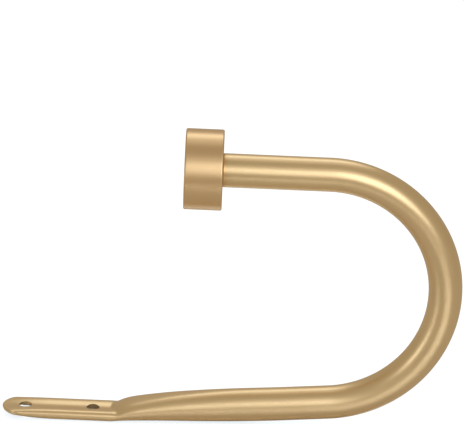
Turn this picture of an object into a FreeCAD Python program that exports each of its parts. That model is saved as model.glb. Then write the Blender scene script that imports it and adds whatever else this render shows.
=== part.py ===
import FreeCAD, Part
import math
import os

from FreeCAD import Vector

# A U-shaped curtain holdback: one bent steel tube whose wall end is pressed flat into a screw tab,
# with a drum-shaped cap fixed on its free end by a plug and a stud.
# Millimetres. +Z points straight out of the wall. The origin lies midway between the two screw holes, on the
# back of the tab's thin middle, which its rolled edges hold off the wall. +X runs along the tab towards the
# bend, and the U lies in the XZ plane.

# Tube
tube_diameter = 16.0
tube_wall = 0.55
bend_radius = 57.6
leg_tilt = 4.8
lift_radius = 550.0
lift_start = 36.0
leg_straight = 22.0
upper_leg = 50.0
tube_end_rounding = 0.4

# Pressed tab
tab_width = 18.7
tab_edge_height = 4.85
tab_dish = 1.0
bead_width = 2.9
bead_runout = 26.0
bead_loss = 0.95
groove_flat = 6.6
groove_side = 3.7
hole_diameter = 6.2
hole_spacing = 32.4
hole_to_tip = 11.05
hole_to_nose = 9.35
tip_margin = 0.1

# Way back from the pressed tab to the round tube
press_length = 72.0
nose_step = 1.6
nose_step_length = 12.0
nose_bow = 4.0
nose_softness = 1.2
cavity_start = 4.0

# Cap and what holds it
cap_diameter = 38.0
cap_length = 18.0
cap_rim_rounding = 0.8
cap_hole_depth = 12.0
stud_diameter = 6.0
stud_length = 24.0
stud_end_gap = 0.5
stud_chamfer = 0.6
plug_length = 14.0
plug_chamfer = 0.5
press_clearance = 0.02
thread_clearance = 0.05

# Worked out from the sizes above
tube_radius = tube_diameter / 2
tab_half = tab_width / 2
press_depth = tube_diameter - tab_edge_height
web_thickness = 2 * tube_wall
web_back = tab_edge_height - tab_dish - web_thickness
wall_z = -web_back
tip_x = -hole_spacing / 2 - hole_to_tip
full_bead_x = tip_x + bead_runout
nose_x = hole_spacing / 2 + hole_to_nose
tab_end = nose_x - 2 * nose_softness
tilt = math.radians(leg_tilt)
lift_x = nose_x + lift_start
lift_end = lift_x + lift_radius * tilt
round_from = max(nose_x + press_length, lift_end)

# How the cross-sections are drawn and spaced
section_points = 48
crowding = 0.35
corner_spread = 0.15
fade_share = 0.15
tab_steps = 12
loft_steps = 28
loft_growth = 1.6
join_tolerance = 0.001
section_knots = [count / section_points for count in range(section_points + 1)]


def soft_ramp(distance):
    """Distance past the nose: nought before it, and rounded where it starts to grow."""
    if distance <= -nose_softness:
        return 0.0
    if distance >= nose_softness:
        return distance
    return (distance + nose_softness) ** 2 / (4 * nose_softness)


def press_share(station, across):
    """How far the tube is pressed there: 1 on the tab, 0 where it is round again."""
    bow = nose_bow * (across / tab_half) ** 2
    past_nose = soft_ramp(station - nose_x - bow)
    long_fall = max(0.0, 1 - past_nose / press_length) ** 2
    short_fall = max(0.0, 1 - past_nose / nose_step_length) ** 3
    step_share = nose_step / press_depth
    return (1 - step_share) * long_fall + step_share * short_fall


def wall_line(station):
    """Point and tilt of the line on which the tube lies against the wall, then lifts off it."""
    if station <= lift_x:
        return Vector(station, 0, wall_z), 0.0
    turn = min((station - lift_x) / lift_radius, tilt)
    lift = lift_radius * (1 - math.cos(turn))
    point = Vector(lift_x + lift_radius * math.sin(turn), 0, wall_z + lift)
    beyond = max(0.0, station - lift_end)
    return point + Vector(math.cos(turn), 0, math.sin(turn)) * beyond, turn


def section_wire(station, inset):
    """Closed outline of the tube's skin at a station, drawn inset millimetres inside it."""
    share = press_share(station, 0.0)
    fade = max(0.0, 1 - (1 - share) / fade_share) ** 2
    lost = bead_loss * max(0.0, (full_bead_x - station) / bead_runout) ** 2
    drop = tab_dish * lost
    low = web_back * lost * fade + inset
    high = tube_diameter - press_depth * share - drop - inset
    middle = (low + high) / 2
    corner = (high - low) / 2
    half_width = tube_radius + (tab_half - tube_radius) * share - inset
    flat = half_width - corner
    dish_half = tab_half - bead_width
    origin, turn = wall_line(station)
    points = []
    for count in range(section_points):
        step = 2 * math.pi * count / section_points
        angle = step + crowding * math.sin(2 * step)
        side = math.cos(angle)
        up = math.sin(angle)
        spread = side * math.sqrt((1 + corner_spread ** 2) / (side ** 2 + corner_spread ** 2))
        across = flat * spread + corner * side
        if up > 0:
            inside = max(0.0, dish_half - abs(across))
            dish = (1 - math.cos(math.pi * inside / dish_half)) / 2 * fade
            top = tube_diameter - press_depth * press_share(station, across) - drop - inset
            height = middle + (top - middle) * up - (tab_dish - drop) * dish
        else:
            height = middle + corner * up
        points.append(origin + Vector(-height * math.sin(turn), across, height * math.cos(turn)))
    curve = Part.BSplineCurve()
    curve.interpolate(Points=points, PeriodicFlag=True, Parameters=section_knots)
    return Part.Wire([curve.toShape()])


def pressed_length(first, inset):
    """The tube from a station near the nose to where it is round and straight, as one lofted solid."""
    wires = []
    for step in range(loft_steps + 1):
        station = first + (round_from - first) * (step / loft_steps) ** loft_growth
        wires.append(section_wire(station, inset))
    return Part.makeLoft(wires, True, False)


def flat_tab():
    """The tab, a straight length of the fully pressed section, trimmed to a round tip."""
    start_x = tip_x - tube_wall
    stations = [start_x + (tab_end - start_x) * step / tab_steps for step in range(tab_steps + 1)]
    blank = Part.makeLoft([section_wire(station, 0.0) for station in stations], True, False)
    side = tab_half + tip_margin
    floor = -tube_diameter
    arc_x = tip_x + side
    beyond_x = tab_end + tube_wall
    corners = [Vector(arc_x, side, floor), Vector(beyond_x, side, floor),
               Vector(beyond_x, -side, floor), Vector(arc_x, -side, floor)]
    outline = Part.Wire([
        Part.Arc(corners[3], Vector(tip_x, 0, floor), corners[0]).toShape(),
        Part.LineSegment(corners[0], corners[1]).toShape(),
        Part.LineSegment(corners[1], corners[2]).toShape(),
        Part.LineSegment(corners[2], corners[3]).toShape(),
    ])
    return blank.common(Part.Face(outline).extrude(Vector(0, 0, 2 * tube_diameter)))


def bent_length(radius):
    """The round tube's outside or bore: the rest of the lower leg, the bend and the upper leg."""
    wall_point, turn = wall_line(round_from)
    along = Vector(math.cos(turn), 0, math.sin(turn))
    outward = Vector(-math.sin(turn), 0, math.cos(turn))
    start = wall_point + outward * tube_radius
    bend_start = start + along * leg_straight
    bend_centre = bend_start + outward * bend_radius
    mid_angle = turn / 2
    bend_middle = bend_centre + Vector(math.cos(mid_angle), 0, math.sin(mid_angle)) * bend_radius
    bend_end = bend_centre + Vector(0, 0, bend_radius)
    end = bend_end - Vector(upper_leg, 0, 0)
    path = Part.Wire([
        Part.LineSegment(start, bend_start).toShape(),
        Part.Arc(bend_start, bend_middle, bend_end).toShape(),
        Part.LineSegment(bend_end, end).toShape(),
    ])
    ring = Part.Wire([Part.Circle(start, along, radius).toShape()])
    return path.makePipeShell([ring], True, False), end


def back_groove():
    """The hollow with sloping sides in the tab's back, which leaves its middle two walls thick."""
    start_x = tip_x - tube_wall
    flat_half = groove_flat / 2
    open_half = flat_half + 2 * groove_side
    wedge = Part.makeWedge(start_x, 2 * wall_z, -open_half, -flat_half, start_x,
                           nose_x + groove_side, 0, open_half, flat_half, nose_x - groove_side)
    wedge.rotate(Vector(0, 0, 0), Vector(1, 0, 0), 90)
    return wedge


def screw_hole(centre_x):
    """A punch for one screw hole."""
    return Part.makeCylinder(hole_diameter / 2, tab_edge_height, Vector(centre_x, 0, wall_z), Vector(0, 0, 1))


def build_tube():
    """The bent tube with its pressed tab, bore and screw holes."""
    pressed = flat_tab().fuse([pressed_length(tab_end, 0.0)], join_tolerance).cut(back_groove())
    pressed = pressed.cut(pressed_length(nose_x + nose_bow + cavity_start, tube_wall))
    for centre_x in (-hole_spacing / 2, hole_spacing / 2):
        pressed = pressed.cut(screw_hole(centre_x))
    outside, free_end = bent_length(tube_radius)
    end_edge = [edge for edge in outside.Edges
                if edge.Closed and abs(edge.CenterOfMass.x - free_end.x) < join_tolerance
                and abs(edge.CenterOfMass.z - free_end.z) < tube_radius]
    outside = outside.makeFillet(tube_end_rounding, end_edge)
    bore, free_end = bent_length(tube_radius - tube_wall)
    return pressed.fuse([outside.cut(bore)], join_tolerance), free_end


def build_cap(seat):
    """The drum cap, its back on the tube's end, with a blind hole for the stud."""
    drum = Part.makeCylinder(cap_diameter / 2, cap_length, seat, Vector(-1, 0, 0))
    rims = [edge for edge in drum.Edges if edge.Closed and edge.Curve.TypeId == "Part::GeomCircle"]
    drum = drum.makeFillet(cap_rim_rounding, rims)
    hole = Part.makeCylinder(stud_diameter / 2 + thread_clearance, cap_hole_depth, seat, Vector(-1, 0, 0))
    return drum.cut(hole)


def build_plug(seat):
    """The plug pressed into the tube's free end, flush with it and threaded through."""
    radius = tube_radius - tube_wall - press_clearance
    plug = Part.makeCylinder(radius, plug_length, seat, Vector(1, 0, 0))
    inner_end = [edge for edge in plug.Edges
                 if edge.Closed and abs(edge.CenterOfMass.x - seat.x - plug_length) < plug_chamfer]
    plug = plug.makeChamfer(plug_chamfer, inner_end)
    hole = Part.makeCylinder(stud_diameter / 2 + thread_clearance, plug_length, seat, Vector(1, 0, 0))
    return plug.cut(hole)


def build_stud(seat):
    """The stud, screwed through the plug into the cap."""
    start = seat - Vector(cap_hole_depth - stud_end_gap, 0, 0)
    stud = Part.makeCylinder(stud_diameter / 2, stud_length, start, Vector(1, 0, 0))
    ends = [edge for edge in stud.Edges if edge.Closed]
    return stud.makeChamfer(stud_chamfer, ends)


os.makedirs("parts", exist_ok=True)
tube, cap_seat = build_tube()
pieces = {
    "holdback_tube": tube,
    "end_cap": build_cap(cap_seat),
    "end_plug": build_plug(cap_seat),
    "cap_stud": build_stud(cap_seat),
}
for name, shape in pieces.items():
    shape.exportStep("parts/" + name + ".step")
    print(name, len(shape.Solids), "solid, valid", shape.isValid(), "volume %.1f mm3" % shape.Volume)
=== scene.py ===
# %% [markdown]
# # Curtain holdback
# A holdback is a wall hook for a drawn curtain: one bent metal tube whose wall end is pressed flat into
# a screw tab, with a drum-shaped cap on its free end. The measured solids come in first as a fixed
# frame, in metres. Everything made here is set against them.

# %% The measured frame
import math

import bmesh
import bpy
from mathutils import Matrix, Vector


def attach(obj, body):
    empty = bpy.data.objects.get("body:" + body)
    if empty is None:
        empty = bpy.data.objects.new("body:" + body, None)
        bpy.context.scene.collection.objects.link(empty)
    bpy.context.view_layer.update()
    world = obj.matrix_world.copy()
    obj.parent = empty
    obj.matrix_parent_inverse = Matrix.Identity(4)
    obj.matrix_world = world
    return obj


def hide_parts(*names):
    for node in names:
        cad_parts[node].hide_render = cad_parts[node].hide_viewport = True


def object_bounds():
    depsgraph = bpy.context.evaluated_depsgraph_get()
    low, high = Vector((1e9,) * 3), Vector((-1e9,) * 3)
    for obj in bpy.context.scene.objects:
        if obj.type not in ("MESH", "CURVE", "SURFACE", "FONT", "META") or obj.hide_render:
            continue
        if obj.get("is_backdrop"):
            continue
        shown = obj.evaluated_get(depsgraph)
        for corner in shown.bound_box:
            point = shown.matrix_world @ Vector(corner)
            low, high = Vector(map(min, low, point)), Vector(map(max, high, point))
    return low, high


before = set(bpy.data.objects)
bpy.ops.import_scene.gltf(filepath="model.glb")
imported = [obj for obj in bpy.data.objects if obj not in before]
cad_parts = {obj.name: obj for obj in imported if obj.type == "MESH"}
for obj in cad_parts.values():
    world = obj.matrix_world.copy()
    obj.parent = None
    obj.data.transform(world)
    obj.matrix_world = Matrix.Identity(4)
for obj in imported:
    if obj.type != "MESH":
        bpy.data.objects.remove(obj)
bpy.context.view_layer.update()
print("nodes:", sorted(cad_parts))

# %% [markdown]
# ## The tube's line
# The tube is one length of 16 mm tube. From the round tip of its tab it lies flat on the wall, lifts off
# it in a long shallow curve, runs straight, goes round the bend and comes back along the upper leg. A
# line of points carries all of that: each point knows how far along the wall it stands (station), which
# way the tube heads there (heading) and where its centre is. Such a line could be a Bezier curve, but
# arcs and straight runs worked out from the sizes are exact, and they match the solids.

# %% Sizes of the tube, in metres
tube_radius = 0.008
tube_wall = 0.00055
bend_radius = 0.0576
leg_tilt = math.radians(4.8)
lift_radius = 0.550
lift_start = 0.036
leg_straight = 0.022
upper_leg = 0.050
tube_end_rounding = 0.0004
closed_length = 0.008

# %% Sizes of the tab, in metres
tab_half = 0.00935
tab_edge_height = 0.00485
tab_dish = 0.0010
hole_spacing = 0.0324
hole_to_tip = 0.01105
hole_to_nose = 0.00935
tip_margin = 0.0001
tip_rounding = 0.0004

# %% Places worked out from the sizes
web_thickness = 2 * tube_wall
wall_z = web_thickness + tab_dish - tab_edge_height
tip_x = -hole_spacing / 2 - hole_to_tip
tip_radius = tab_half + tip_margin
nose_x = hole_spacing / 2 + hole_to_nose
lift_x = nose_x + lift_start
lift_end = lift_x + lift_radius * leg_tilt
cavity_start = nose_x + closed_length
print("the tab runs from", round(1000 * tip_x, 2), "to", round(1000 * nose_x, 2), "mm")
print("the tube is round and straight from", round(1000 * lift_end, 1), "mm on")


# %% Points along the line
def wall_point(station):
    """Where the tube's wall side lies at a station on the pressed leg, and its heading."""
    turn = min(max(0.0, station - lift_x) / lift_radius, leg_tilt)
    if turn == 0.0:
        return Vector((station, 0, wall_z)), 0.0
    lift = lift_radius * (1 - math.cos(turn))
    lifted = Vector((lift_x + lift_radius * math.sin(turn), 0, wall_z + lift))
    beyond = max(0.0, station - lift_end)
    return lifted + beyond * Vector((math.cos(turn), 0, math.sin(turn))), turn


def outward(heading):
    """The direction that points away from the wall, square to the heading."""
    return Vector((-math.sin(heading), 0, math.cos(heading)))


def spaced(first, last, count):
    """Evenly spaced values from first to last, both included."""
    return [first + (last - first) * step / (count - 1) for step in range(count)]


line_points = []


def add_point(station, heading, centre, inset=0.0, backoff=0.0, thin=0.0):
    """Adds one point to the line, with all that the press needs to know there."""
    line_points.append({"station": station, "heading": heading, "centre": centre,
                        "inset": inset, "backoff": backoff, "thin": thin})


def add_leg_points(stations):
    """Adds points on the wall leg, each in the middle of the round tube."""
    for station in stations:
        foot, heading = wall_point(station)
        add_point(station, heading, foot + tube_radius * outward(heading))


# %% [markdown]
# The tip of the tab is trimmed round and its edge is broken. Its first rings are one ring, closed to a
# line in the middle of the edge and then opened over a small radius: `thin` is what is taken off the
# thickness, `backoff` is how far the ring stands back from the trimmed outline. The points of the line may
# not fall together, so they stand a little apart here, and the press sets the rings in place later. A `thin`
# of 1 shuts a ring altogether.

# %% The tip
tip_centre = Vector((tip_x, 0, wall_z + tube_radius))
shut_gap = 0.001
ring_gap = 0.0001
tip_rings = 6
add_point(tip_x, 0.0, tip_centre - Vector((shut_gap, 0, 0)), thin=1.0)
for angle in spaced(0.0, math.pi / 2, tip_rings):
    add_point(tip_x, 0.0, tip_centre + Vector((ring_gap * angle, 0, 0)),
              backoff=tip_rounding * (1 - math.cos(angle)), thin=tip_rounding * (1 - math.sin(angle)))
print(len(line_points), "rings at the tip")

# %% [markdown]
# The wall leg is set out in four runs, each with its first and last station and its number of rings. They
# stand closest where the shape changes most, round the nose, where the tab meets the leg.

# %% Pressed leg, bend and upper leg
leg_runs = [
    (tip_x + 0.001, nose_x - 0.003, 110),
    (nose_x - 0.0027, nose_x + 0.018, 84),
    (nose_x + 0.0188, lift_end, 70),
    (lift_end + 0.002, lift_end + leg_straight, 8),
]
bend_rings = 150
upper_rings = 24
end_rings = 7
for first, last, count in leg_runs:
    add_leg_points(spaced(first, last, count))
leg_end, leg_heading = wall_point(lift_end + leg_straight)
bend_centre = leg_end + (tube_radius + bend_radius) * outward(leg_heading)
for heading in spaced(leg_heading, math.pi, bend_rings)[1:]:
    centre = bend_centre - bend_radius * outward(heading)
    add_point(lift_end + leg_straight, heading, centre)
bend_end = line_points[-1]["centre"]
for run in spaced(0.0, upper_leg - tube_end_rounding, upper_rings)[1:]:
    add_point(lift_end + leg_straight, math.pi, bend_end - Vector((run, 0, 0)))
for angle in spaced(0.0, math.pi / 2, end_rings)[1:]:
    run = upper_leg - tube_end_rounding * (1 - math.sin(angle))
    add_point(lift_end + leg_straight, math.pi, bend_end - Vector((run, 0, 0)),
              inset=tube_end_rounding * (1 - math.cos(angle)))
print(len(line_points), "rings on the outside")

# %% [markdown]
# The tube is hollow. The same line turns back at the free end and runs down the bore, one wall thickness
# further in, to where the press has closed it. There the last ring is shut. The bore is out of sight, so
# every second ring is enough.

# %% The way back down the bore
bore_points = [point for point in line_points if point["inset"] == 0.0 and point["thin"] == 0.0]
bore_points = [point for point in bore_points if point["station"] >= cavity_start][::-1]
free_end = bend_end - Vector((upper_leg, 0, 0))
add_point(lift_end + leg_straight, math.pi, free_end, inset=tube_wall)
for point in bore_points[::2]:
    add_point(point["station"], point["heading"], point["centre"], inset=tube_wall)
last = dict(line_points[-1])
last["thin"] = 1.0
line_points.append(last)
print(len(line_points), "rings in all")

# %% [markdown]
# The line becomes a mesh of loose edges, because a mesh can carry named values at its points. Mesh to Curve
# keeps them, and so does the sweep after it, so the press can read them at every point of the tube.

# %% The line as a mesh of edges that carries its values
line_mesh = bpy.data.meshes.new("tube_line")
line_edges = [(first, first + 1) for first in range(len(line_points) - 1)]
line_mesh.from_pydata([point["centre"] for point in line_points], line_edges, [])
for name in ("station", "heading", "inset", "backoff", "thin"):
    values = line_mesh.attributes.new(name, "FLOAT", "POINT")
    values.data.foreach_set("value", [point[name] for point in line_points])
centres = line_mesh.attributes.new("centre", "FLOAT_VECTOR", "POINT")
centres.data.foreach_set("vector", [value for point in line_points for value in point["centre"]])
tube = bpy.data.objects.new("satin_tube", line_mesh)
bpy.context.scene.collection.objects.link(tube)
print("line:", len(line_mesh.edges), "edges")

# %% [markdown]
# ## Satin gold
# The real finish is a thin gold plating on steel that was brushed and then lacquered. Up close it has
# very fine scratches and a faint unevenness, and at arm's length it is a soft satin sheen. A metal
# shader with a middling roughness gives that sheen. Two noises on Object coordinates give it life: a
# broad one that shifts the roughness and the colour a little, and a very fine one for the scratches. A
# picture of brushed metal would also do, but noise needs no file and no seams.


# %% The finish
def satin_gold(name, colour, roughness):
    """A plated, finely brushed metal whose pattern is read from Object coordinates."""
    unevenness = 0.02
    darkest = 0.97
    material = bpy.data.materials.new(name)
    material.use_nodes = True
    nodes = material.node_tree.nodes
    links = material.node_tree.links
    shader = nodes["Principled BSDF"]
    shader.inputs["Metallic"].default_value = 1.0
    place = nodes.new("ShaderNodeTexCoord")

    broad = nodes.new("ShaderNodeTexNoise")
    broad.inputs["Scale"].default_value = 60.0
    broad.inputs["Detail"].default_value = 2.0
    links.new(place.outputs["Object"], broad.inputs["Vector"])
    worn = nodes.new("ShaderNodeMapRange")
    worn.inputs["To Min"].default_value = roughness - unevenness
    worn.inputs["To Max"].default_value = roughness + unevenness
    links.new(broad.outputs["Fac"], worn.inputs["Value"])
    links.new(worn.outputs["Result"], shader.inputs["Roughness"])

    tint = nodes.new("ShaderNodeMix")
    tint.data_type = "RGBA"
    tint.inputs[6].default_value = (*[darkest * value for value in colour], 1.0)
    tint.inputs[7].default_value = (*colour, 1.0)
    links.new(broad.outputs["Fac"], tint.inputs["Factor"])
    links.new(tint.outputs[2], shader.inputs["Base Color"])

    fine = nodes.new("ShaderNodeTexNoise")
    fine.inputs["Scale"].default_value = 6000.0
    fine.inputs["Detail"].default_value = 3.0
    links.new(place.outputs["Object"], fine.inputs["Vector"])
    scratches = nodes.new("ShaderNodeBump")
    scratches.inputs["Strength"].default_value = 0.05
    scratches.inputs["Distance"].default_value = 0.0001
    links.new(fine.outputs["Fac"], scratches.inputs["Height"])
    links.new(scratches.outputs["Normal"], shader.inputs["Normal"])
    return material


tube_finish = satin_gold("satin_gold_tube", (0.84, 0.645, 0.36), 0.35)
cap_finish = satin_gold("satin_gold_cap", (0.80, 0.58, 0.315), 0.33)
print("finishes:", tube_finish.name, cap_finish.name)

# %% [markdown]
# ## The press, as a Geometry Nodes tree
# A ring of points is carried along the line, which makes a plain tube. Then the tree does what the press
# did: near the tab it flattens each ring, spreads it sideways, dishes its middle, hollows its back and
# leaves two rolled edges. The rule needs only each point's station and its angle round the ring, so a tree
# of Math nodes can set every point in one go. A sculpted mesh could look the same, but its sizes could not
# be changed.

# %% A small kit for writing sums as nodes
press_tree = bpy.data.node_groups.new("pressed_tube", "GeometryNodeTree")
press_nodes = press_tree.nodes
press_links = press_tree.links
press_tree.interface.new_socket("Geometry", in_out="OUTPUT", socket_type="NodeSocketGeometry")
press_tree.interface.new_socket("Line", in_out="INPUT", socket_type="NodeSocketGeometry")


def feed(socket, value):
    """Puts a number or another node's output into a socket."""
    if isinstance(value, bpy.types.NodeSocket):
        press_links.new(value, socket)
    else:
        socket.default_value = value


def sum_node(operation, *values):
    """One Math node with these inputs, given by its output."""
    node = press_nodes.new("ShaderNodeMath")
    node.operation = operation
    for socket, value in zip(node.inputs, values):
        feed(socket, value)
    return node.outputs[0]


def plus(*values):
    total = values[0]
    for value in values[1:]:
        total = sum_node("ADD", total, value)
    return total


def minus(first, second):
    return sum_node("SUBTRACT", first, second)


def times(*values):
    product = values[0]
    for value in values[1:]:
        product = sum_node("MULTIPLY", product, value)
    return product


def over(first, second):
    return sum_node("DIVIDE", first, second)


def at_least(first, second):
    return sum_node("MAXIMUM", first, second)


def at_most(first, second):
    return sum_node("MINIMUM", first, second)


def power(first, exponent):
    return sum_node("POWER", first, exponent)


def read(name, kind="FLOAT"):
    """Reads one of the line's values at each point of the swept mesh."""
    node = press_nodes.new("GeometryNodeInputNamedAttribute")
    node.data_type = kind
    node.inputs["Name"].default_value = name
    return node.outputs["Attribute"]


# %% Named sizes of the press
press_sizes = {
    "Tube Radius": tube_radius,
    "Tab Half Width": tab_half,
    "Wall": wall_z,
    "Tab Edge Height": tab_edge_height,
    "Tab Dish": tab_dish,
    "Web Thickness": web_thickness,
    "Bead Width": 0.0029,
    "Bead Runout": 0.0260,
    "Bead Loss": 0.95,
    "Groove Flat": 0.0066,
    "Groove Side": 0.0037,
    "Nose": nose_x,
    "Nose Bow": 0.0040,
    "Nose Softness": 0.0012,
    "Nose Step": 0.0016,
    "Nose Step Length": 0.0120,
    "Press Length": 0.0720,
    "Tip": tip_x,
    "Tip Radius": tip_radius,
    "Hole Radius": 0.0031,
    "Hole Spacing": hole_spacing,
}
socket_names = {}
for name, value in press_sizes.items():
    socket = press_tree.interface.new_socket(name, in_out="INPUT", socket_type="NodeSocketFloat")
    socket.default_value = value
    socket_names[name] = socket.identifier
finish_socket = press_tree.interface.new_socket("Finish", in_out="INPUT", socket_type="NodeSocketMaterial")
socket_names["Finish"] = finish_socket.identifier
group_in = press_nodes.new("NodeGroupInput")
group_out = press_nodes.new("NodeGroupOutput")
size = {name: group_in.outputs[name] for name in press_sizes}
print(len(press_sizes), "named sizes on the press")

# %% [markdown]
# The ring's angle is stored on its own points before it is carried along the line. After the sweep, each
# point of the mesh knows both where it stands along the tube and where it stands round it.

# %% A ring carried along the line
to_curve = press_nodes.new("GeometryNodeMeshToCurve")
press_links.new(group_in.outputs["Line"], to_curve.inputs["Mesh"])
ring = press_nodes.new("GeometryNodeCurvePrimitiveCircle")
ring_points = 112
ring.inputs["Resolution"].default_value = ring_points
ring.inputs["Radius"].default_value = tube_radius
round_ring = press_nodes.new("GeometryNodeSplineParameter")
mark_angle = press_nodes.new("GeometryNodeStoreNamedAttribute")
mark_angle.data_type = "FLOAT"
mark_angle.domain = "POINT"
mark_angle.inputs["Name"].default_value = "angle"
press_links.new(ring.outputs["Curve"], mark_angle.inputs["Geometry"])
feed(mark_angle.inputs["Value"], times(round_ring.outputs["Factor"], 2 * math.pi))
sweep = press_nodes.new("GeometryNodeCurveToMesh")
press_links.new(to_curve.outputs["Curve"], sweep.inputs["Curve"])
press_links.new(mark_angle.outputs["Geometry"], sweep.inputs["Profile Curve"])
print("ring:", ring_points, "points")

# %% [markdown]
# The tab is pressed in full. Past the nose the tube grows round again, by a small step over a short run and
# by the rest over a long one. The nose is bowed, so the edges follow later than the middle. The front and
# back spread out wide on the tab, so more of a ring's points are crowded there.

# %% How far the tube is pressed at a point
crowding = 0.35
station = read("station")
inset = read("inset")
step = read("angle")
angle = plus(step, times(crowding, sum_node("SINE", times(2.0, step))))
side = sum_node("COSINE", angle)
up = sum_node("SINE", angle)
press_depth = minus(times(2.0, size["Tube Radius"]), size["Tab Edge Height"])


def pressed(across):
    """1 on the tab, falling to 0 where the tube is round again."""
    bow = times(size["Nose Bow"], power(over(across, size["Tab Half Width"]), 2.0))
    past = minus(minus(station, size["Nose"]), bow)
    softness = size["Nose Softness"]
    middle = at_most(at_least(past, times(-1.0, softness)), softness)
    rounded = over(power(plus(middle, softness), 2.0), times(4.0, softness))
    ramp = plus(rounded, at_least(minus(past, softness), 0.0))
    long_fall = power(at_least(minus(1.0, over(ramp, size["Press Length"])), 0.0), 2.0)
    short_fall = power(at_least(minus(1.0, over(ramp, size["Nose Step Length"])), 0.0), 3.0)
    step_share = over(size["Nose Step"], press_depth)
    return plus(times(minus(1.0, step_share), long_fall), times(step_share, short_fall))


# %% How far across each point goes, and how far the round tip is trimmed there
share = pressed(0.0)
fade_share = 0.15
fade = power(at_least(minus(1.0, over(minus(1.0, share), fade_share)), 0.0), 2.0)
widened = times(minus(size["Tab Half Width"], size["Tube Radius"]), share)
half_width = minus(plus(size["Tube Radius"], widened), inset)
corner_spread = 0.15
spread_scale = sum_node("SQRT", over(1 + corner_spread ** 2, plus(power(side, 2.0), corner_spread ** 2)))


def spread_out(corner):
    """How far across a point goes when the ring's ends are rounded by this much."""
    return plus(times(minus(half_width, corner), side, spread_scale), times(corner, side))


def slide_at(across):
    """How far a point slides along the tab, so that the tip's rings follow its round outline."""
    reach = sum_node("SQRT", at_least(minus(power(size["Tip Radius"], 2.0), power(across, 2.0)), 0.0))
    trim = plus(minus(size["Tip Radius"], reach), read("backoff"))
    past_tip = over(minus(station, size["Tip"]), times(2.0, size["Tip Radius"]))
    return times(trim, at_least(minus(1.0, past_tip), 0.0))


# %% [markdown]
# The rolled edges run out towards the tip: the press leaves little more than the doubled wall there. `lost`
# is the share of an edge's height that is gone. It depends on where a point ends up, so the slide is
# worked out once with a full edge and once more with the true one.

# %% How much of the rolled edge is left
full_corner = times(0.5, size["Tab Edge Height"])
along = plus(station, slide_at(spread_out(full_corner)))
run_left = minus(plus(size["Tip"], size["Bead Runout"]), along)
lost = times(size["Bead Loss"], power(at_least(over(run_left, size["Bead Runout"]), 0.0), 2.0))
drop = times(size["Tab Dish"], lost)
web_back = minus(minus(size["Tab Edge Height"], size["Tab Dish"]), size["Web Thickness"])
bead_back = times(web_back, lost)
print(len(press_nodes), "nodes up to the rolled edge")

# %% [markdown]
# The front of the tab is dished between its rolled edges in a smooth bell, which fades out where the tube
# opens. The hollow in the back has a flat bottom and plain sloping sides, as the solids have, and it ends in
# a slope at the nose.

# %% How high each point goes
low = plus(times(bead_back, fade), inset)
high = minus(minus(minus(times(2.0, size["Tube Radius"]), times(press_depth, share)), drop), inset)
middle = times(0.5, plus(low, high))
corner = times(0.5, minus(high, low))
across = spread_out(corner)
dish_half = minus(size["Tab Half Width"], size["Bead Width"])
inside = at_least(minus(dish_half, sum_node("ABSOLUTE", across)), 0.0)
bell = times(0.5, minus(1.0, sum_node("COSINE", times(math.pi, over(inside, dish_half)))), fade)
dish = times(minus(size["Tab Dish"], drop), bell)
open_half = plus(times(0.5, size["Groove Flat"]), size["Groove Side"])
side_slope = over(minus(open_half, sum_node("ABSOLUTE", across)), size["Groove Side"])
end_slope = over(minus(size["Nose"], along), size["Groove Side"])
groove = times(web_back, at_least(at_most(at_most(side_slope, end_slope), 1.0), 0.0))
front = sum_node("GREATER_THAN", up, 0.0)
full_top = minus(times(2.0, size["Tube Radius"]), times(press_depth, pressed(across)))
top = minus(minus(full_top, drop), inset)
front_height = minus(times(minus(top, middle), at_least(up, 0.0)), times(dish, front))
back_height = at_least(plus(middle, times(corner, at_most(up, 0.0))), times(groove, minus(1.0, front)))
height = plus(front_height, back_height)
print(len(press_nodes), "nodes up to the height")

# %% The tip's edge, closed and broken
least_kept = 0.1
edge_middle = times(0.5, plus(minus(high, dish), at_least(low, groove)))
from_middle = minus(height, edge_middle)
thin = read("thin")
half_thick = sum_node("ABSOLUTE", from_middle)
shut = sum_node("GREATER_THAN", thin, 0.5)
kept = at_least(minus(half_thick, thin), times(least_kept, half_thick, minus(1.0, shut)))
height = plus(edge_middle, times(sum_node("SIGN", from_middle), kept))
slide = slide_at(across)

# %% Every point set in its place
tip_tolerance = 0.00001
weld_distance = 0.000002
heading = read("heading")
out_x = times(-1.0, sum_node("SINE", heading))
out_z = sum_node("COSINE", heading)
lifted = minus(height, size["Tube Radius"])
centre_parts = press_nodes.new("ShaderNodeSeparateXYZ")
press_links.new(read("centre", "FLOAT_VECTOR"), centre_parts.inputs["Vector"])
is_tip = sum_node("LESS_THAN", station, plus(size["Tip"], tip_tolerance))
centre_x = plus(times(is_tip, size["Tip"]), times(minus(1.0, is_tip), centre_parts.outputs["X"]))
place = press_nodes.new("ShaderNodeCombineXYZ")
feed(place.inputs["X"], plus(centre_x, times(lifted, out_x), slide))
feed(place.inputs["Y"], across)
feed(place.inputs["Z"], at_least(plus(centre_parts.outputs["Z"], times(lifted, out_z)), size["Wall"]))
set_place = press_nodes.new("GeometryNodeSetPosition")
press_links.new(sweep.outputs["Mesh"], set_place.inputs["Geometry"])
press_links.new(place.outputs["Vector"], set_place.inputs["Position"])
weld = press_nodes.new("GeometryNodeMergeByDistance")
weld.inputs["Distance"].default_value = weld_distance
press_links.new(set_place.outputs["Geometry"], weld.inputs["Geometry"])
print(len(press_nodes), "nodes up to the pressed tube")

# %% [markdown]
# Two screw holes go through the tab. A punch is set on two points, made real, and taken away from the tube.
# The holes could be two more loops in the mesh, but a punch leaves the press as it is and cuts clean rims.

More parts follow.
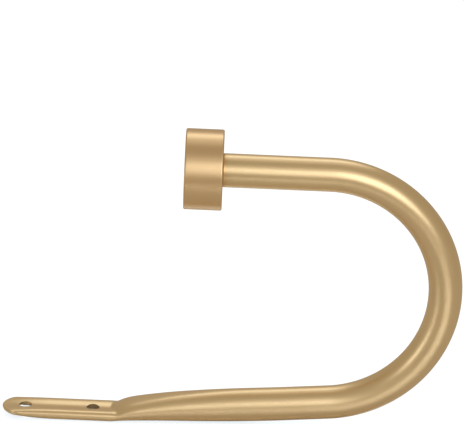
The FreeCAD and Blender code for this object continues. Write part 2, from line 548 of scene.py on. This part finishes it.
# %% The punches
punch = press_nodes.new("GeometryNodeMeshCylinder")
punch_sides = 96
punch.inputs["Vertices"].default_value = punch_sides
feed(punch.inputs["Radius"], size["Hole Radius"])
feed(punch.inputs["Depth"], times(4.0, size["Tab Edge Height"]))
spots = press_nodes.new("GeometryNodeMeshLine")
spots.mode = "OFFSET"
spots.inputs["Count"].default_value = 2
first_spot = press_nodes.new("ShaderNodeCombineXYZ")
feed(first_spot.inputs["X"], times(-0.5, size["Hole Spacing"]))
apart = press_nodes.new("ShaderNodeCombineXYZ")
feed(apart.inputs["X"], size["Hole Spacing"])
press_links.new(first_spot.outputs["Vector"], spots.inputs["Start Location"])
press_links.new(apart.outputs["Vector"], spots.inputs["Offset"])
on_spots = press_nodes.new("GeometryNodeInstanceOnPoints")
press_links.new(spots.outputs["Mesh"], on_spots.inputs["Points"])
press_links.new(punch.outputs["Mesh"], on_spots.inputs["Instance"])
punches = press_nodes.new("GeometryNodeRealizeInstances")
press_links.new(on_spots.outputs["Instances"], punches.inputs["Geometry"])
print("punches:", spots.inputs["Count"].default_value)

# %% Punched, smoothed and finished
cut = press_nodes.new("GeometryNodeMeshBoolean")
cut.operation = "DIFFERENCE"
cut.solver = "EXACT"
press_links.new(weld.outputs["Geometry"], cut.inputs["Mesh 1"])
press_links.new(punches.outputs["Geometry"], cut.inputs["Mesh 2"])
realize = press_nodes.new("GeometryNodeRealizeInstances")
press_links.new(cut.outputs["Mesh"], realize.inputs["Geometry"])
coat = press_nodes.new("GeometryNodeSetMaterial")
press_links.new(realize.outputs["Geometry"], coat.inputs["Geometry"])
press_links.new(group_in.outputs["Finish"], coat.inputs["Material"])
press_links.new(coat.outputs["Geometry"], group_out.inputs["Geometry"])

press = tube.modifiers.new("press", "NODES")
press.node_group = press_tree
for name, value in press_sizes.items():
    press[socket_names[name]] = value
press[socket_names["Finish"]] = tube_finish
bpy.context.view_layer.update()
graph = bpy.context.evaluated_depsgraph_get()
tube_mesh = bpy.data.meshes.new_from_object(tube.evaluated_get(graph))
tube.modifiers.remove(press)
tube.data = tube_mesh
tube_mesh.name = "satin_tube"
tube_mesh.shade_smooth()
sharp_angle = math.radians(40)
tube_mesh.set_sharp_from_angle(angle=sharp_angle)
print("tube:", len(tube_mesh.polygons), "faces")

# %% [markdown]
# The swept mesh has to face outwards and be closed. Its volume is negative when it is inside out, and a
# closed mesh has no open edges.

# %% Checks on the tube's mesh
shell = bmesh.new()
shell.from_mesh(tube_mesh)
volume = shell.calc_volume(signed=True)
open_edges = sum(1 for edge in shell.edges if not edge.is_manifold)
if volume < 0:
    bmesh.ops.reverse_faces(shell, faces=shell.faces)
    shell.to_mesh(tube_mesh)
shell.free()
print("tube volume in mm3:", round(volume * 1e9, 1), "open edges:", open_edges)
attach(tube, "root")
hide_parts("holdback_tube")

# %% [markdown]
# ## The cap and what holds it
# The drum cap, the plug and the stud have the right shape in the frame already, so they stay and only
# get a finish.

# %% Finishes on the turned pieces
turned_pieces = ("end_cap", "end_plug", "cap_stud")
for node in turned_pieces:
    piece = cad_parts[node]
    piece.data.materials.clear()
    piece.data.materials.append(cap_finish)
print("dressed:", ", ".join(turned_pieces))

# %% [markdown]
# ## Studio
# Satin metal shows its surroundings as soft bands, so the light is most of its look. One large soft lamp
# stands in front, a little to the right, with a fainter one above it. A narrow one stands at the left, and
# two shine from behind and above, along the top edges. The rest of the room is dim and warm. The camera
# sees white instead, so the metal keeps its dark bands on a white ground.


# %% Lamps
target = Vector((0.08, 0.0, 0.07))
daylight = (0.95, 1.0, 1.10)


def soft_lamp(name, azimuth, elevation, distance, width, height, strength):
    """A soft lamp that faces the object. Azimuth 0 is in front, positive to the right."""
    across = math.radians(azimuth)
    rise = math.radians(elevation)
    away = Vector((math.sin(across) * math.cos(rise), -math.cos(across) * math.cos(rise), math.sin(rise)))
    lamp = bpy.data.lights.new(name, "AREA")
    lamp.shape = "RECTANGLE"
    lamp.size = width
    lamp.size_y = height
    lamp.energy = strength * width * height * math.pi
    lamp.color = daylight
    holder = bpy.data.objects.new(name, lamp)
    holder.location = target + distance * away
    holder.rotation_euler = (-away).to_track_quat("-Z", "Y").to_euler()
    bpy.context.scene.collection.objects.link(holder)


soft_lamp("front_lamp", azimuth=20, elevation=22, distance=2.0, width=1.3, height=1.15, strength=2.1)
soft_lamp("high_lamp", azimuth=20, elevation=48, distance=2.0, width=1.2, height=0.5, strength=0.35)
soft_lamp("left_lamp", azimuth=-52, elevation=10, distance=2.0, width=0.6, height=0.8, strength=1.7)
soft_lamp("back_lamp", azimuth=175, elevation=53, distance=2.0, width=1.2, height=0.7, strength=1.25)
soft_lamp("top_lamp", azimuth=175, elevation=76, distance=2.0, width=1.2, height=0.7, strength=0.35)

# %% The room
room = bpy.data.worlds.new("dim_room")
room.use_nodes = True
room_nodes = room.node_tree.nodes
room_links = room.node_tree.links
dim = room_nodes["Background"]
dim.inputs["Color"].default_value = (0.45, 0.39, 0.32, 1.0)
white = room_nodes.new("ShaderNodeBackground")
white.inputs["Color"].default_value = (1.0, 1.0, 1.0, 1.0)
seen_by = room_nodes.new("ShaderNodeLightPath")
choice = room_nodes.new("ShaderNodeMixShader")
room_links.new(seen_by.outputs["Is Camera Ray"], choice.inputs[0])
room_links.new(dim.outputs[0], choice.inputs[1])
room_links.new(white.outputs[0], choice.inputs[2])
room_links.new(choice.outputs[0], room_nodes["World Output"].inputs["Surface"])
bpy.context.scene.world = room
print("room:", room.name)

# %% [markdown]
# The floor is a glossy white sheet that ends a little in front of the holdback. Its gloss mirrors the front
# lamp at a low angle, which gives the bend its second light band. It glows for the camera, so it is white,
# and only faintly in reflections, because the metal shows a darker floor than the eye sees.

# %% The floor
floor_left = -1.5
floor_right = 1.7
floor_front = -0.27
floor_back = 2.5
floor_glow = 0.76
glow_in_reflections = 0.08
floor_mesh = bpy.data.meshes.new("floor")
floor_corners = [(floor_left, floor_front, wall_z), (floor_right, floor_front, wall_z),
                 (floor_right, floor_back, wall_z), (floor_left, floor_back, wall_z)]
floor_mesh.from_pydata(floor_corners, [], [(0, 1, 2, 3)])
floor = bpy.data.objects.new("floor", floor_mesh)
bpy.context.scene.collection.objects.link(floor)
floor_finish = bpy.data.materials.new("white_floor")
floor_finish.use_nodes = True
floor_shader = floor_finish.node_tree.nodes["Principled BSDF"]
floor_shader.inputs["Base Color"].default_value = (0.66, 0.60, 0.53, 1.0)
floor_shader.inputs["Roughness"].default_value = 0.15
floor_shader.inputs["Specular IOR Level"].default_value = 1.0
floor_shader.inputs["IOR"].default_value = 2.2
floor_shader.inputs["Emission Color"].default_value = (0.88, 1.0, 1.10, 1.0)
floor_nodes = floor_finish.node_tree.nodes
floor_links = floor_finish.node_tree.links
light_path = floor_nodes.new("ShaderNodeLightPath")
mirrored = floor_nodes.new("ShaderNodeMath")
mirrored.operation = "ADD"
softened = floor_nodes.new("ShaderNodeMath")
softened.operation = "MULTIPLY_ADD"
softened.inputs[1].default_value = glow_in_reflections
glow = floor_nodes.new("ShaderNodeMath")
glow.operation = "MULTIPLY"
glow.inputs[1].default_value = floor_glow
floor_links.new(light_path.outputs["Is Glossy Ray"], mirrored.inputs[0])
floor_links.new(light_path.outputs["Is Transmission Ray"], mirrored.inputs[1])
floor_links.new(mirrored.outputs[0], softened.inputs[0])
floor_links.new(light_path.outputs["Is Camera Ray"], softened.inputs[2])
floor_links.new(softened.outputs[0], glow.inputs[0])
floor_links.new(glow.outputs[0], floor_shader.inputs["Emission Strength"])
floor_mesh.materials.append(floor_finish)
floor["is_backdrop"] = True
print("floor at the wall plane")

# %% [markdown]
# ## Camera
# The camera stands far back with a long lens, a little above the holdback, as product shots are taken.
# Its three directions are given as they were worked out from the outlines of the tube, tab and cap.

# %% Camera
focal_pixels = 3000.0
image_width = 464.0
pitch = 0.33611
yaw = -0.00203
roll = 0.04309
camera_place = (0.076233, -1.330247, 0.570970 + wall_z)
camera = bpy.data.cameras.new("camera")
camera.sensor_fit = "HORIZONTAL"
camera.sensor_width = 36.0
camera.lens = focal_pixels * camera.sensor_width / image_width
camera.clip_end = 20.0
to_view = (Matrix.Rotation(roll, 3, "Z") @ Matrix.Rotation(pitch, 3, "X") @ Matrix.Rotation(yaw, 3, "Y")
           @ Matrix(((1, 0, 0), (0, 0, -1), (0, 1, 0))))
turn = Matrix((to_view[0], -to_view[1], -to_view[2])).transposed()
camera_object = bpy.data.objects.new("camera", camera)
camera_object.matrix_world = Matrix.Translation(camera_place) @ turn.to_4x4()
bpy.context.scene.collection.objects.link(camera_object)
bpy.context.scene.camera = camera_object
bpy.context.scene.view_settings.view_transform = "Standard"
print("lens in mm:", round(camera.lens, 1))

# %% [markdown]
# ## Size
# The box round the dressed model, leaving out the floor, is printed. The dressed model
# must be as large as the frame.

# %% The dressed model's size
low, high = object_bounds()
print("dressed box in mm:", [round(1000 * value, 1) for value in (*low, *high)])
